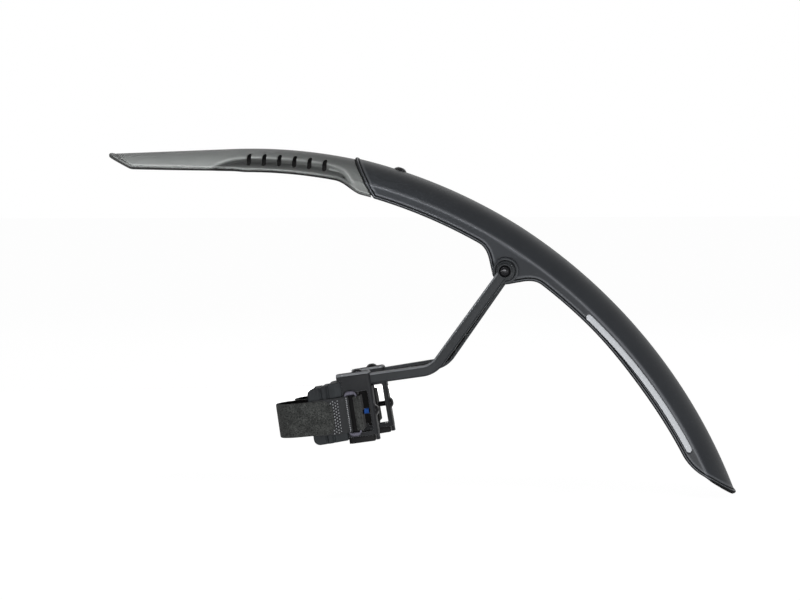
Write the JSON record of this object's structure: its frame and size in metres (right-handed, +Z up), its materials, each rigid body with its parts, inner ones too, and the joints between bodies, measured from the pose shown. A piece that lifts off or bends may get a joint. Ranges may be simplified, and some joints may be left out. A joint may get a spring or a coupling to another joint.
{
  "type": "strap-on bicycle mudguard",
  "caption": "Strap-on bicycle mudguard: an arched blade with a pull-out slotted front extension, on pivoting stays with rubber-padded strap clamps for the fork legs.",
  "frame": {"origin": "centre of the bounding box", "axes": "+X to the rear of the bicycle, along the longest extent; +Y to the right, across the wheel; +Z up"},
  "size_m": [0.4281, 0.1008, 0.2316],
  "materials": {
    "blade_plastic": "fine-grained dark grey moulding",
    "extension_plastic": "satin mid-grey moulding",
    "stay_plastic": "satin dark grey glass-filled moulding",
    "hard_plastic": "black moulding",
    "reflector": "light grey reflective strip",
    "bracket_metal": "satin black coated steel sheet",
    "black_screw": "black steel screw",
    "steel": "plain steel nut",
    "nylon": "black nylon",
    "insert_brass": "turned brass",
    "pad_rubber": "matt blue-grey rubber",
    "strap_fabric": "loop-faced dark webbing",
    "hook_fabric": "grey hook tape",
    "ring_metal": "grey plated steel ring"
  },
  "bodies": {
    "blade": {"main_blade": "blade_plastic", "extension_screw": "black_screw", "extension_saddle": "hard_plastic", "extension_nut": "black_screw", "left_reflector_strip": "reflector", "left_pivot_bolt": "black_screw", "left_pivot_washer": "nylon", "left_pivot_insert": "insert_brass", "right_reflector_strip": "reflector", "right_pivot_bolt": "black_screw", "right_pivot_washer": "nylon", "right_pivot_insert": "insert_brass"},
    "extension": {"front_extension": "extension_plastic"},
    "left_stay": {"left_stay": "stay_plastic"},
    "right_stay": {"right_stay": "stay_plastic"},
    "left_clamp": {"left_bracket": "bracket_metal", "left_clamp_screw": "black_screw", "left_clamp_nut": "steel", "left_pad": "pad_rubber", "left_pad_carrier": "hard_plastic", "left_pad_screw": "black_screw", "left_pad_nut": "steel", "left_strap": "strap_fabric", "left_hook_tab": "hook_fabric", "left_strap_ring": "ring_metal"},
    "right_clamp": {"right_bracket": "bracket_metal", "right_clamp_screw": "black_screw", "right_clamp_nut": "steel", "right_pad": "pad_rubber", "right_pad_carrier": "hard_plastic", "right_pad_screw": "black_screw", "right_pad_nut": "steel", "right_strap": "strap_fabric", "right_hook_tab": "hook_fabric", "right_strap_ring": "ring_metal"}
  },
  "joints": [
    {"name": "extension_pull_out", "type": "hinge", "parent": "blade", "child": "extension", "pos_m": [-0.12752, 0, -0.24612], "axis": [0, -1, 0], "range_deg": [0, 6]},
    {"name": "left_stay_pivot", "type": "hinge", "parent": "blade", "child": "left_stay", "pos_m": [0.05881, -0.036, 0.03432], "axis": [0, -1, 0], "range_deg": [-25, 25]},
    {"name": "left_clamp_slide", "type": "slide", "parent": "left_stay", "child": "left_clamp", "axis": [-0.9898, 0, -0.1426], "range_m": [0, 0.005]},
    {"name": "right_stay_pivot", "type": "hinge", "parent": "blade", "child": "right_stay", "pos_m": [0.05881, 0.036, 0.03432], "axis": [0, -1, 0], "range_deg": [-25, 25]},
    {"name": "right_clamp_slide", "type": "slide", "parent": "right_stay", "child": "right_clamp", "axis": [-0.9866, 0, -0.1633], "range_m": [0, 0.005]}
  ]
}
